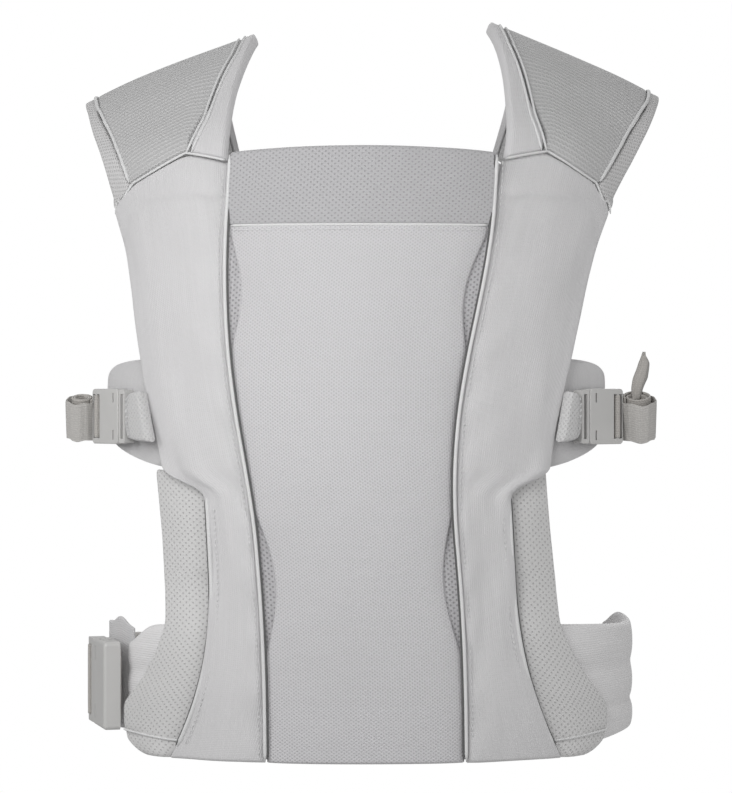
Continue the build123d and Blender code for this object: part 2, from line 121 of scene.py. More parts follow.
# Distances along a buckle, from the start of its plug to its webbing bar and to its end.
BAR_BEHIND = 0.8 + 3.2 + BAR
SIDE_BODY_END = 8.5 + 24.0
SIDE_BAR = SIDE_BODY_END + BAR_BEHIND
SIDE_END = SIDE_BODY_END + 11.0
WAIST_BAR = 20.5 + 35.0 + BAR_BEHIND
PLUG_BAR = 7.1
UP = Vector((0, 0, 1))


def ease(value):
    t = min(max(value, 0.0), 1.0)
    return t * t * (3 - 2 * t)


def mix(a, b, t):
    return a + (b - a) * t


def bump(value, middle, spread):
    """Bell curve of height 1."""
    return math.exp(-(((value - middle) / spread) ** 2))


def half_depth(offset, z):
    return TORSO_HALF_DEPTH + offset - CHEST_SET_BACK * ease((z - CHEST_START) / (CHEST_END - CHEST_START))


def torso(angle, offset, z):
    """Point on the body ellipse; the angle in degrees runs from the front to +X."""
    a = math.radians(angle)
    return Vector(((TORSO_HALF_WIDTH + offset) * math.sin(a), -half_depth(offset, z) * math.cos(a), z))


def angle_at(x, offset):
    return math.degrees(math.asin(min(max(x / (TORSO_HALF_WIDTH + offset), -1.0), 1.0)))


def lean(z):
    """Sideways sway of the worn carrier."""
    return -LEAN * bump(z, LEAN_HEIGHT, LEAN_SPREAD)


def panel_half(z):
    return mix(PANEL_LOW, PANEL_TOP, ease((z - PANEL_CURVE_START) / PANEL_CURVE_LENGTH))


def seam_x(side, z):
    """The long piping between the centre panel and a side band."""
    return side * panel_half(z) + lean(z)


def vent(z):
    for low, high in (UPPER_VENT, LOWER_VENT):
        if low < z < high:
            return VENT_DEPTH * math.sin(math.pi * (z - low) / (high - low))
    return 0.0


def band_half(z):
    if z >= LEG_TOP:
        flare = BAND_TOP_FLARE * ease((z - BAND_TOP_START) / BAND_TOP_LENGTH)
        return BAND_HEM + BAND_FLARE * (z - LEG_TOP) + flare
    curve = LEG_HALF
    if z < LEG_CURVE:
        curve += (LEG_FOOT - LEG_HALF) * ((LEG_CURVE - z) / LEG_CURVE) ** 2.2
    if z > LEG_HEM:
        curve += (BAND_HEM - LEG_HALF) * ease((z - LEG_HEM) / (LEG_TOP - LEG_HEM))
    return curve


def edge_x(side, half, z):
    return side * half + EDGE_LEAN * lean(z)


def band_x(side, z):
    return edge_x(side, band_half(z), z)


def on_body(x, offset, z):
    """Point of the body at a given distance across."""
    return torso(angle_at(x, offset), offset, z)


def between(share, first, last, reference, offset, z):
    """Point part of the way from one x to another, whose angles are taken at a reference offset."""
    return torso(mix(angle_at(first, reference), angle_at(last, reference), share), offset, z)


def ripple(x, y, z, size, height):
    """Slow random unevenness of cloth."""
    return height * noise.noise(Vector((x / size, y / size, z / size)))


# ---------------------------------------------------------------- mesh making


def to_mesh(name, rows, closed=False, uv=None):
    """Grid of points as a mesh object with a UV map in metres along the cloth."""
    count = len(rows[0])
    mesh = bpy.data.meshes.new(name)
    faces = []
    for j in range(len(rows) - 1):
        for i in range(count - (0 if closed else 1)):
            k = (i + 1) % count
            faces.append((j * count + i, j * count + k, (j + 1) * count + k, (j + 1) * count + i))
    mesh.from_pydata([p * MM for row in rows for p in row], [], faces)
    obj = bpy.data.objects.new(name, mesh)
    bpy.context.scene.collection.objects.link(obj)
    if uv:
        flat = [c for row in uv for c in row]
        layer = mesh.uv_layers.new(name="UVMap")
        for loop in mesh.loops:
            layer.data[loop.index].uv = flat[loop.vertex_index]
    return obj


@contextmanager
def reshaped(obj):
    """Edits an object's mesh and writes it back."""
    shape = bmesh.new()
    shape.from_mesh(obj.data)
    yield shape
    shape.to_mesh(obj.data)
    shape.free()


def close_ends(shape):
    bmesh.ops.holes_fill(shape, edges=[e for e in shape.edges if e.is_boundary], sides=0)


def circle(count):
    return [2 * math.pi * k / count for k in range(count)]


def squared(value, power):
    """Cosine or sine pushed towards -1 and 1, for a rounded rectangle."""
    return math.copysign(abs(value) ** power, value)


def spaced(length, rim, count):
    """Shares of a length from edge to edge, close together in the rounded rim."""
    near = [rim * share for share in (0.0, 0.1, 0.35, 0.65)]
    inner = [rim + (length - 2 * rim) * i / count for i in range(count + 1)]
    stops = near + inner + [length - d for d in reversed(near)]
    return [d / length for d in stops]


def roundness(share, length, rim):
    d = min(share, 1 - share) * length / rim
    return math.sqrt(max(0.0, 1 - (1 - min(d, 1.0)) ** 2))


def cloth_uv(rows):
    """Distances along the cloth in metres, measured from each row's middle."""
    middle = len(rows[0]) // 2
    uv = []
    along = 0.0
    for j, row in enumerate(rows):
        if j:
            along += (row[middle] - rows[j - 1][middle]).length
        run = [0.0]
        for a, b in zip(row, row[1:]):
            run.append(run[-1] + (b - a).length)
        uv.append([((r - run[middle]) * MM, along * MM) for r in run])
    return uv


def pad(name, place, size, thickness, rim, pitch=5.0):
    """Closed pad: place(s, t, lift) gives a point, with lift in mm from its middle surface."""
    across = spaced(size[0], rim, max(2, round((size[0] - 2 * rim) / pitch)))
    along = spaced(size[1], rim, max(2, round((size[1] - 2 * rim) / pitch)))

    def full(s, t):
        return roundness(s, size[0], rim) * roundness(t, size[1], rim)

    fronts = [[place(s, t, thickness / 2 * full(s, t)) for s in across] for t in along]
    backs = [[place(s, t, -thickness / 2 * full(s, t)) for s in across] for t in along]
    front = to_mesh(name, fronts, uv=cloth_uv(fronts))
    back = to_mesh(name + ".back", [row[::-1] for row in backs], uv=[r[::-1] for r in cloth_uv(backs)])
    return weld([front, back])


def weld(objects):
    """Joins meshes into the first, merges shared edges and points the faces outwards."""
    target = objects[0]
    joined = bmesh.new()
    for obj in objects:
        joined.from_mesh(obj.data)
    bmesh.ops.remove_doubles(joined, verts=joined.verts, dist=0.00002)
    bmesh.ops.recalc_face_normals(joined, faces=joined.faces)
    for face in joined.faces:
        face.smooth = True
    joined.to_mesh(target.data)
    joined.free()
    for obj in objects[1:]:
        bpy.data.objects.remove(obj)
    return target


def subdivide(obj):
    modifier = obj.modifiers.new("smooth", "SUBSURF")
    modifier.levels = 1
    modifier.render_levels = 1


def padded(obj, material, slot, nodes, body="carrier"):
    """Smooths a finished pad and dresses it."""
    subdivide(obj)
    dress(obj, material, slot, body, nodes)


def inflate(obj, pressure, cap, frames=12):
    """Lets the cloth swell under pressure, by simulation, and keeps the result in the mesh."""
    modifier = obj.modifiers.new("cloth", "CLOTH")
    settings = modifier.settings
    light_cloth = {"quality": 4, "mass": 0.2, "tension_stiffness": 25, "compression_stiffness": 25,
                   "shear_stiffness": 15, "bending_stiffness": 1.5}
    for key, value in light_cloth.items():
        setattr(settings, key, value)
    settings.use_pressure = True
    settings.uniform_pressure_force = pressure
    settings.effector_weights.gravity = 0
    modifier.collision_settings.use_collision = False
    modifier.point_cache.frame_start = 1
    modifier.point_cache.frame_end = frames
    scene = bpy.context.scene
    for number in range(1, frames + 1):
        scene.frame_set(number)
    depsgraph = bpy.context.evaluated_depsgraph_get()
    swollen = [v.co.copy() for v in obj.evaluated_get(depsgraph).data.vertices]
    obj.modifiers.remove(modifier)
    for vertex, place in zip(obj.data.vertices, swollen):
        move = place - vertex.co
        if move.length > cap * MM:
            move *= cap * MM / move.length
        vertex.co += move
    scene.frame_set(1)


def catmull(points, t):
    """Point at share t along a smooth line through the points."""
    spans = len(points) - 1
    k = min(int(t * spans), spans - 1)
    u = t * spans - k
    p1 = points[k]
    p2 = points[k + 1]
    p0 = points[k - 1] if k else p1 * 2 - p2
    p3 = points[k + 2] if k + 2 <= spans else p2 * 2 - p1
    return 0.5 * (2 * p1 + (p2 - p0) * u + (2 * p0 - 5 * p1 + 4 * p2 - p3) * u * u
                  + (3 * p1 - p0 - 3 * p2 + p3) * u ** 3)


def strap_place(pairs):
    """Surface between two smooth edge lines; its normal points away from the body."""
    first = [pair[0] for pair in pairs]
    second = [pair[1] for pair in pairs]

    def middle(s, t):
        return catmull(first, t).lerp(catmull(second, t), s)

    def place(s, t, lift):
        step = 0.01
        across = middle(min(s + step, 1), t) - middle(max(s - step, 0), t)
        ahead = middle(s, min(t + step, 1)) - middle(s, max(t - step, 0))
        normal = across.cross(ahead).normalized()
        base = middle(s, t)
        if normal.dot(base - Vector((0, 0, min(base.z, 400.0)))) < 0:
            normal = -normal
        return base + normal * lift

    return place


def frame_at(point, ahead):
    """Directions away from the body and sideways, square to a line through the point."""
    out = Vector((point.x, point.y, 0)).normalized()
    side = ahead.cross(out).normalized()
    return side.cross(ahead).normalized(), side


def tube(name, points, radius, sides=10):
    """Round cord along a line of points."""
    rows = []
    for i, point in enumerate(points):
        ahead = (points[min(i + 1, len(points) - 1)] - points[max(i - 1, 0)]).normalized()
        out, side = frame_at(point, ahead)
        size = radius * (0.35 if i in (0, len(points) - 1) else 1.0)
        rows.append([point + (out * math.cos(a) + side * math.sin(a)) * size for a in circle(sides)])
    obj = to_mesh(name, rows, closed=True)
    with reshaped(obj) as shape:
        close_ends(shape)
        bmesh.ops.recalc_face_normals(shape, faces=shape.faces)
        for face in shape.faces:
            face.smooth = True
    return obj


# A stitch from end to end: share of its length, share of its radius, height.
STITCH = ((0.0, 0.35, -0.25), (0.25, 1.0, 0.1), (0.75, 1.0, 0.1), (1.0, 0.35, -0.25))


def stitches(name, lines, length=2.6, gap=1.5, radius=0.32):
    """Rows of single stitches lying along lines of points, as one mesh."""
    shape = bmesh.new()
    for line in lines:
        total = 0.0
        runs = [0.0]
        for a, b in zip(line, line[1:]):
            total += (b - a).length
            runs.append(total)

        def spot(distance):
            for k in range(len(line) - 1):
                if distance <= runs[k + 1] or k == len(line) - 2:
                    share = (distance - runs[k]) / max(runs[k + 1] - runs[k], 1e-6)
                    return line[k].lerp(line[k + 1], min(share, 1.0))

        at = gap
        while at + length < total:
            a = spot(at)
            b = spot(at + length)
            ahead = (b - a).normalized()
            out, side = frame_at(a, ahead)
            rings = []
            for share, size, lift in STITCH:
                center = a.lerp(b, share) + out * lift
                spokes = [out * math.cos(q) + side * math.sin(q) for q in circle(6)]
                rings.append([shape.verts.new((center + spoke * radius * size) * MM) for spoke in spokes])
            for low, high in zip(rings, rings[1:]):
                for k in range(6):
                    shape.faces.new((low[k], low[(k + 1) % 6], high[(k + 1) % 6], high[k]))
            shape.faces.new(rings[0][::-1])
            shape.faces.new(rings[-1])
            at += length + gap
    for face in shape.faces:
        face.smooth = True
    mesh = bpy.data.meshes.new(name)
    bmesh.ops.recalc_face_normals(shape, faces=shape.faces)
    shape.to_mesh(mesh)
    shape.free()
    obj = bpy.data.objects.new(name, mesh)
    bpy.context.scene.collection.objects.link(obj)
    return obj


def cord(name, points, radius, nodes=()):
    dress(tube(name, points, radius), PIPING, "piping", nodes=nodes)


def painted_shadow_tube(name, points, radius):
    """Near-black tube beside a piped seam: painted shadow of the seam's recess."""
    dress(tube(name, points, radius), PAINTED_SHADOW, "piping")


def sewing(name, lines):
    dress(stitches(name, lines), THREAD, "piping")


def dress(obj, material, slot, body="carrier", nodes=()):
    """Gives a finished piece its material and body, and hides the CAD nodes it stands for."""
    obj.data.materials.clear()
    obj.data.materials.append(material)
    if nodes:
        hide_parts(*nodes)
    if body:
        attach(obj, body)
    return obj


# ---------------------------------------------------------------- materials


class Nodes:
    """Short way to write a material's node tree."""

    def __init__(self, name, color, roughness, sheen=0.0):
        self.material = bpy.data.materials.new(name)
        self.material.use_nodes = True
        self.tree = self.material.node_tree
        self.shader = self.tree.nodes["Principled BSDF"]
        self.shader.inputs["Base Color"].default_value = (*color, 1)
        self.shader.inputs["Roughness"].default_value = roughness
        self.shader.inputs["Sheen Weight"].default_value = sheen
        self.shader.inputs["Sheen Roughness"].default_value = 0.5

    def add(self, kind, **settings):
        node = self.tree.nodes.new(kind)
        for key, value in settings.items():
            setattr(node, key, value)
        return node

    def link(self, a, b):
        self.tree.links.new(a, b)

    def math(self, operation, a, b=None):
        node = self.add("ShaderNodeMath", operation=operation)
        for socket, value in zip(node.inputs, (a, b)):
            if value is None:
                continue
            if isinstance(value, (int, float)):
                socket.default_value = value
            else:
                self.link(value, socket)
        return node.outputs[0]

    def total(self, *parts):
        """Sum of (value, weight) parts."""
        found = None
        for value, weight in parts:
            part = self.math("MULTIPLY", value, weight)
            found = part if found is None else self.math("ADD", found, part)
        return found

    def uv(self):
        return self.add("ShaderNodeTexCoord").outputs["UV"]

    def place(self):
        return self.add("ShaderNodeTexCoord").outputs["Object"]

    def stretched(self, vector, y):
        node = self.add("ShaderNodeMapping")
        node.inputs["Scale"].default_value = (1, y, 1)
        self.link(vector, node.inputs["Vector"])
        return node.outputs[0]

    def split(self, vector):
        node = self.add("ShaderNodeSeparateXYZ")
        self.link(vector, node.inputs[0])
        return node.outputs

    def noise(self, vector, scale, detail):
        node = self.add("ShaderNodeTexNoise")
        node.inputs["Scale"].default_value = scale
        node.inputs["Detail"].default_value = detail
        self.link(vector, node.inputs["Vector"])
        return node.outputs["Fac"]

    def wave(self, coordinate, period):
        """Height from 0 to 1 that repeats along one coordinate, in metres."""
        swing = self.math("SINE", self.math("MULTIPLY", coordinate, 2 * math.pi / period))
        return self.math("MULTIPLY_ADD", swing, 0.5)

    def holes(self, vector, pitch_x, pitch_y, radius, soft):
        """Staggered rows of small holes: 1 in a hole and 0 on the cloth between."""
        across, along_cloth, unused = self.split(vector)
        found = None
        for shift in (0.0, 0.5):
            u = self.math("ADD", self.math("DIVIDE", across, pitch_x), shift + 500)
            v = self.math("ADD", self.math("DIVIDE", along_cloth, pitch_y), shift + 500)
            du = self.math("MULTIPLY", self.math("SUBTRACT", self.math("FRACT", u), 0.5), pitch_x)
            dv = self.math("MULTIPLY", self.math("SUBTRACT", self.math("FRACT", v), 0.5), pitch_y)
            square = self.math("ADD", self.math("MULTIPLY", du, du), self.math("MULTIPLY", dv, dv))
            distance = self.math("SQRT", square)
            step = self.add("ShaderNodeMapRange", interpolation_type="SMOOTHSTEP")
            self.link(distance, step.inputs["Value"])
            step.inputs["From Min"].default_value = radius - soft
            step.inputs["From Max"].default_value = radius + soft
            step.inputs["To Min"].default_value = 1.0
            step.inputs["To Max"].default_value = 0.0
            found = step.outputs[0] if found is None else self.math("MAXIMUM", found, step.outputs[0])
        return found

    def tint(self, factor, low, high):
        """Base colour between two shades."""
        ramp = self.add("ShaderNodeMix", data_type="RGBA")
        ramp.inputs[6].default_value = (*low, 1)
        ramp.inputs[7].default_value = (*high, 1)
        self.link(factor, ramp.inputs[0])
        return ramp.outputs[2]

    def finish(self, color, height, distance, strength, rough=None):
        self.link(color, self.shader.inputs["Base Color"])
        if rough is not None:
            self.link(rough, self.shader.inputs["Roughness"])
        node = self.add("ShaderNodeBump")
        node.inputs["Distance"].default_value = distance
        node.inputs["Strength"].default_value = strength
        self.link(height, node.inputs["Height"])
        self.link(node.outputs[0], self.shader.inputs["Normal"])
        return self.material


def shade(color, factor):
    return tuple(min(1.0, c * factor) for c in color)


def mesh_fabric(name, color, pitch, radius, dark, depth=0.0006, slow=0.06):
    """Knitted mesh with staggered holes, fine yarn grain and slow uneven shade."""
    n = Nodes(name, color, 0.86, 0.25)
    uv = n.uv()
    hole = n.holes(uv, pitch[0], pitch[1], radius, radius * 0.45)
    grain = n.noise(uv, 2600, 2)
    slow_noise = n.noise(n.place(), 9, 3)
    tone = n.total((grain, 0.35), (slow_noise, 0.65))
    cloth = n.tint(tone, shade(color, 1 - slow), shade(color, 1 + slow))
    blend = n.add("ShaderNodeMix", data_type="RGBA")
    n.link(hole, blend.inputs[0])
    n.link(cloth, blend.inputs[6])
    blend.inputs[7].default_value = (*shade(color, dark), 1)
    height = n.total((hole, -1.0), (grain, 0.35))
    return n.finish(blend.outputs[2], height, depth, 0.8)


def knit_fabric(name, color):
    """Smooth fine knit with faint ribs along the cloth."""
    n = Nodes(name, color, 0.9, 0.35)
    uv = n.uv()
    across, along_cloth, unused = n.split(uv)
    ribs = n.wave(across, 0.0016)
    courses = n.wave(along_cloth, 0.00128)
    grain = n.noise(n.stretched(uv, 0.35), 1800, 3)
    slow_noise = n.noise(n.place(), 12, 3)
    streak = n.noise(n.stretched(uv, 0.04), 420, 2)
    tone = n.total((grain, 0.4), (slow_noise, 0.35), (streak, 0.3))
    cloth = n.tint(tone, shade(color, 0.82), shade(color, 1.14))
    height = n.total((ribs, 0.9), (courses, 0.3), (grain, 0.6))
    return n.finish(cloth, height, 0.00022, 0.7)


def ribbed_fabric(name, color):
    """Darker mesh with close horizontal ribs."""
    n = Nodes(name, color, 0.86, 0.25)
    uv = n.uv()
    rib_pitch = 0.0038
    ribs = n.wave(n.split(uv)[1], rib_pitch)
    hole = n.holes(uv, 0.0030, rib_pitch, 0.0006, 0.0003)
    grain = n.noise(uv, 2200, 2)
    tone = n.total((ribs, 0.55), (grain, 0.45))
    cloth = n.tint(tone, shade(color, 0.82), shade(color, 1.12))
    height = n.math("SUBTRACT", ribs, n.math("MULTIPLY", hole, 0.8))
    return n.finish(cloth, height, 0.0005, 0.8)


def webbing_fabric(name, color):
    """Tight woven strap with fine ribs across and a slight herringbone."""
    n = Nodes(name, color, 0.7, 0.2)
    uv = n.uv()
    across, along_cloth, unused = n.split(uv)
    weave = n.math("MULTIPLY", n.wave(along_cloth, 0.0011), n.wave(across, 0.0017))
    grain = n.noise(uv, 1500, 3)
    tone = n.total((weave, 0.6), (grain, 0.5))
    cloth = n.tint(tone, shade(color, 0.78), shade(color, 1.18))
    height = n.total((weave, 1.0), (grain, 0.4))
    return n.finish(cloth, height, 0.0003, 0.7)


def cord_fabric(name, color):
    """Fine tape over a cord, sewing thread, and the near-black cord used as painted seam shadow."""
    n = Nodes(name, color, 0.8, 0.2)
    grain = n.noise(n.place(), 1400, 3)
    return n.finish(n.tint(grain, shade(color, 0.85), shade(color, 1.1)), grain, 0.0002, 0.5)


def buckle_plastic(name, color):
    """Satin moulded plastic with a fine spark-eroded grain and slightly polished patches."""
    n = Nodes(name, color, 0.42)
    place = n.place()
    grain = n.noise(place, 2600, 2)
    slow_noise = n.noise(place, 45, 3)
    cloth = n.tint(slow_noise, shade(color, 0.93), shade(color, 1.05))
    rough = n.math("ADD", n.math("MULTIPLY", slow_noise, 0.16), 0.34)
    n.shader.inputs["Specular IOR Level"].default_value = 0.45
    return n.finish(cloth, grain, 0.00006, 0.5, rough)


PANEL = mesh_fabric("panel_mesh", (0.58, 0.572, 0.585), (0.0034, 0.0024), 0.00055, 0.84, 0.0004)
HEAD = mesh_fabric("head_mesh", (0.435, 0.43, 0.44), (0.0046, 0.0036), 0.00055, 0.80, 0.0005, 0.10)
LINING = mesh_fabric("lining_mesh", (0.60, 0.59, 0.605), (0.0046, 0.0036), 0.0007, 0.66, 0.0006, 0.08)
BOLSTER = mesh_fabric("bolster_mesh", (0.62, 0.615, 0.612), (0.0052, 0.0042), 0.0006, 0.76, 0.0005, 0.10)
EDGE = mesh_fabric("edge_mesh", (0.56, 0.555, 0.555), (0.0040, 0.0032), 0.0006, 0.80, 0.0005, 0.08)
TAB = mesh_fabric("tab_mesh", (0.56, 0.556, 0.556), (0.0036, 0.0036), 0.0006, 0.92, 0.0005)
KNIT = knit_fabric("smooth_knit", (0.60, 0.594, 0.60))
STRAP_KNIT = knit_fabric("strap_knit", (0.56, 0.555, 0.56))
BELT = knit_fabric("belt_knit", (0.72, 0.712, 0.715))
RIBBED = ribbed_fabric("ribbed_mesh", (0.50, 0.498, 0.498))
PIPING = cord_fabric("piping", (0.68, 0.68, 0.68))
THREAD = cord_fabric("thread", (0.66, 0.66, 0.66))
# Near-black cord colour, used as painted shadow beside the piping.
PAINTED_SHADOW = cord_fabric("painted_seam_shadow", (0.10, 0.10, 0.10))
WEBBING = webbing_fabric("webbing", (0.46, 0.44, 0.415))
ELASTIC = webbing_fabric("elastic", (0.52, 0.505, 0.485))
PLASTIC = buckle_plastic("buckle_plastic", (0.55, 0.545, 0.535))


# ---------------------------------------------------------------- pieces on the body


def wrapped(edge_a, edge_b, low, high, middle_offset, wave=None):
    """place() for a pad on the body between two edge lines x(z)."""
    def place(s, t, lift):
        z = mix(low, high, t)
        offset = middle_offset + lift + (wave(s, z) if wave else 0.0)
        return between(s, edge_a(z), edge_b(z), middle_offset, offset, z)
    return place


def seam_line(x_of, low, high, offset, step=6.0):
    """Points of a line x(z) on the body, about a step apart."""
    count = max(2, round((high - low) / step))
    points = []
    for i in range(count + 1):
        z = mix(low, high, i / count)
        points.append(on_body(x_of(z), offset, z))
    return points


def make_panel():
    def wave(s, z):
        slack = 1.2 * math.sin(math.pi * s) * bump(z, 190, 130)
        tuck = -1.6 * (bump(s, 0.0, 0.05) + bump(s, 1.0, 0.05))
        return slack + tuck + ripple(s * 180, 0, z, 70, 1.1) + ripple(s * 180, 40, z * 1.3, 26, 0.35)

    def inset(z):
        return 1.2 + 0.85 * vent(z)

    place = wrapped(lambda z: seam_x(-1, z) + inset(z), lambda z: seam_x(1, z) - inset(z),
                    HEM_Z, SEAM_Z + 0.8, PANEL_IN + 3.0, wave)
    panel = pad("centre_panel_cloth", place, (150, SEAM_Z - HEM_Z), 5.6, 2.4)
    padded(panel, PANEL, "panel_mesh", ["centre_panel"])

    lining_place = wrapped(lambda z: seam_x(-1, z) - 9, lambda z: seam_x(1, z) + 9,
                           HEM_Z + 2, SEAM_Z + 0.5, LINING_IN + 0.8)
    lining = pad("panel_lining_cloth", lining_place, (165, SEAM_Z - HEM_Z), 1.5, 1.0, 8.0)
    dress(lining, LINING, "lining_mesh", nodes=["panel_lining"])


def make_head_support():
    def wave(s, z):
        share = (z - SEAM_Z) / (HEAD_TOP - SEAM_Z)
        roll = 1.5 * math.sin(math.pi * min(max(share, 0.0), 1.0))
        return ripple(s * 180, 9, z, 38, 1.3) + ripple(s * 180, 70, z * 2, 15, 0.35) + roll

    def place(s, t, lift):
        low = SEAM_Z - 1.2
        crown = 4.0 * math.sin(math.pi * s) ** 0.7 - 1.0
        z = mix(low, HEAD_TOP + crown, t)
        offset = HEAD_MIDDLE + lift + wave(s, z)
        return between(s, seam_x(-1, z) + 1.0, seam_x(1, z) - 1.0, HEAD_MIDDLE, offset, z)

    head = pad("head_support_cloth", place, (184, HEAD_TOP - SEAM_Z), 8.5, 2.6, 4.0)
    padded(head, HEAD, "head_mesh", ["head_support"], body=None)
    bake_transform(head)
    lines = []
    for rise, offset in ((0.8, 19.9), (4.2, 20.7)):
        line = []
        for i in range(61):
            x = mix(seam_x(-1, SEAM_Z) + 3, seam_x(1, SEAM_Z) - 3, i / 60)
            line.append(on_body(x, offset, SEAM_Z - rise))
        lines.append(line)
    cord("head_seam_cord", lines[0], 0.9)
    sewing("head_seam_stitches", lines[1:])


# One surface runs from the hem over the shoulder to the shoulder blade. It is
# measured by s, from the panel piping outwards, and u, in mm up from the hem.

FOOT = BAND_TOP - 4 - HEM_Z
SPAN = 37.5
STRAP_END = FOOT + 8 * SPAN
INSIDE = ((97, -93, 36), (95, -58, 74), (89, -28, 102), (84, 2, 117), (92, 36, 111), (106, 70, 84))
OUTSIDE = ((188, -52, 22), (198, -34, 42), (205, -16, 58), (208, 6, 66), (199, 34, 60), (180, 58, 38))
SHOULDER_SHIFT = 4.5
SHIFTS = (0.3, 0.7, 1.0, 1.0, 1.0, 0.5)


def along(points, value):
    """Straight-line reading between (value, result) points."""
    for (a, first), (b, last) in zip(points, points[1:]):
        if value <= b:
            return mix(first, last, max(0.0, (value - a) / (b - a)))
    return points[-1][1]


def shoulder_pairs(side):
    """Edge points of the shoulder strap, from the band to the back strap, as in the CAD model."""
    inner = []
    outer = []
    for foot in (BAND_TOP - 40, BAND_TOP - 4):
        inner.append(on_body(seam_x(side, foot) + side, BAND_MIDDLE, foot))
        outer.append(on_body(band_x(side, foot), BAND_MIDDLE, foot))
    climb = 1.07 if side > 0 else 1.0
    for edge, places in ((inner, INSIDE), (outer, OUTSIDE)):
        for (x, y, rise), share in zip(places, SHIFTS):
            edge.append(Vector((side * x + SHOULDER_SHIFT * share, y, BAND_TOP + rise * climb)))
    blade = back_route(side)[0]
    inner.append(blade[0])
    outer.append(blade[1])
    return list(zip(inner, outer))


def back_route(side):
    """Edge points of the back strap, crossing the spine, as in the CAD model."""
    crossing = 16.6 if side > 0 else 7.2
    top = BAND_TOP
    route = [(124, top + 18, 12.0), (98, top - 18, (12.0 + crossing) / 2), (64, top - 50, crossing),
             (24, top - 76, crossing), (-18, top - 98, crossing), (-60, top - 116, crossing),
             (-98, top - 131, (9.0 + crossing) / 2), (-124, top - 142, 9.0)]
    widths = [66.0, 64.0, 62.0, 60.0, 58.0, 54.0, 48.0, 44.0]
    pairs = []
    for i, ((x, z, offset), width) in enumerate(zip(route, widths)):
        before = route[max(i - 1, 0)]
        after = route[min(i + 1, len(route) - 1)]
        run = math.hypot(after[0] - before[0], after[1] - before[1])
        across_x = -(after[1] - before[1]) / run * width / 2
        across_z = (after[0] - before[0]) / run * width / 2
        ends = []
        for sign in (1, -1):
            px = x + sign * across_x
            pz = z + sign * across_z
            spot = on_body(px, offset, pz)
            ends.append(Vector((spot.x * side, -spot.y, pz)))
        pairs.append(sorted(ends, key=lambda point: -point.z))
    return pairs


def make_shell(side):
    """Point on the outside surface of one side, from the hem to the shoulder blade."""
    def crease(s, t):
        return ripple(s * 90, side * 11, t * 300, 45, 1.4) + ripple(s * 60, side * 17, t * 200, 18, 0.4)

    strap = strap_place(shoulder_pairs(side))

    def shell(s, u, lift):
        if u <= FOOT:
            z = HEM_Z + u
            first = seam_x(side, z) + side * 0.8
            return between(s, first, band_x(side, z), BAND_MIDDLE, BAND_MIDDLE + lift, z)
        t = (1 + (u - FOOT) / SPAN) / 9
        crown = mix(0.5, 7.5, 1 - ease((u - FOOT) / 90)) * (1 - (2 * s - 1) ** 2)
        return strap(s, min(t, 1.0), lift + crown + crease(s, t) * ease((u - FOOT) / 40))

    return shell


def cap_seam(s):
    """Height of the seam where the ribbed cap is sewn to the band."""
    return FOOT + along(((0.0, 29.0), (0.3, 37.0), (0.76, 18.0), (1.0, -11.0)), s)


def inner_seam(u):
    """Place across the strap of the seam on the neck side."""
    k = (u - FOOT) / SPAN
    return along(((0.9, 0.27), (1.7, 0.16), (2.4, 0.12), (3.5, 0.07), (8.0, 0.07)), k)


def outer_seam(u):
    """Place across the strap of the seam on the arm side."""
    k = (u - FOOT) / SPAN
    return along(((0.4, 0.77), (1.5, 0.85), (3.5, 0.93), (8.0, 0.93)), k)


def make_band(name, side):
    shell = make_shell(side)

    def wave(s, z):
        gather = 1.5 * bump(z, 196, 22) * math.sin(s * 15.0 + side) * s
        shoulder = 0.8 * bump(s, 0.1, 0.12) * math.sin(z * 0.16)
        pull = 1.0 * bump(z, 250, 45) * math.sin(s * 13.0 + z * 0.02) * s
        tension = ripple(s * 46, side * 30, z * 0.4, 20, 2.1) + ripple(s * 70, side * 50, z * 0.25, 7, 0.5)
        tuck = -1.5 * bump(s, 0.0, 0.07) - 2.4 * bump(s, 0.0, 0.14) * bump(z, 388, 45)
        return gather + shoulder + pull + tension + tuck

    def place(s, t, lift):
        top = cap_seam(s) - 0.6
        u = mix(0.0, top, t)
        return shell(s, u, lift + wave(s, HEM_Z + u))

    band = pad(f"{name}_side_band_cloth", place, (66, BAND_TOP + 20), 6.4, 2.6, 4.5)
    padded(band, KNIT, "smooth_knit", [f"{name}_side_band"])

    def panel_line(out, low, high, offset):
        return seam_line(lambda z: seam_x(side, z) + side * out, low, high, offset)

    def leg_line(out, low, high, offset, step):
        return seam_line(lambda z: band_x(side, z) + side * out, low, high, offset, step)

    start = HEM_Z + 1
    end = SEAM_Z + 48
    cord(f"{name}_panel_cord", panel_line(0.4, start, end, 20.9), 1.25, [f"{name}_panel_piping"])
    # Dark tube beside the panel piping: painted seam shadow.
    painted_shadow_tube(f"{name}_panel_painted_shadow", panel_line(-1.5, start, end, 20.3), 0.75)
    start = HEM_Z + 9
    end = LEG_HEM - 1
    cord(f"{name}_leg_cord", leg_line(-0.6, start, end, 19.8, 4.0), 1.5, [f"{name}_leg_piping"])
    # Dark tube beside the leg piping: painted seam shadow.
    painted_shadow_tube(f"{name}_leg_painted_shadow", leg_line(1.0, start, end, 18.6, 4.0), 0.7)
    rows = [panel_line(4.6, HEM_Z + 4, BAND_TOP + 20, 21.0),
            leg_line(-5.0, HEM_Z + 10, LEG_HEM - 6, 21.0, 6.0)]
    sewing(f"{name}_band_stitches", rows)
    seam = [shell(i / 40, cap_seam(i / 40), 3.1) for i in range(41)]
    cord(f"{name}_cap_cord", seam, 0.9)


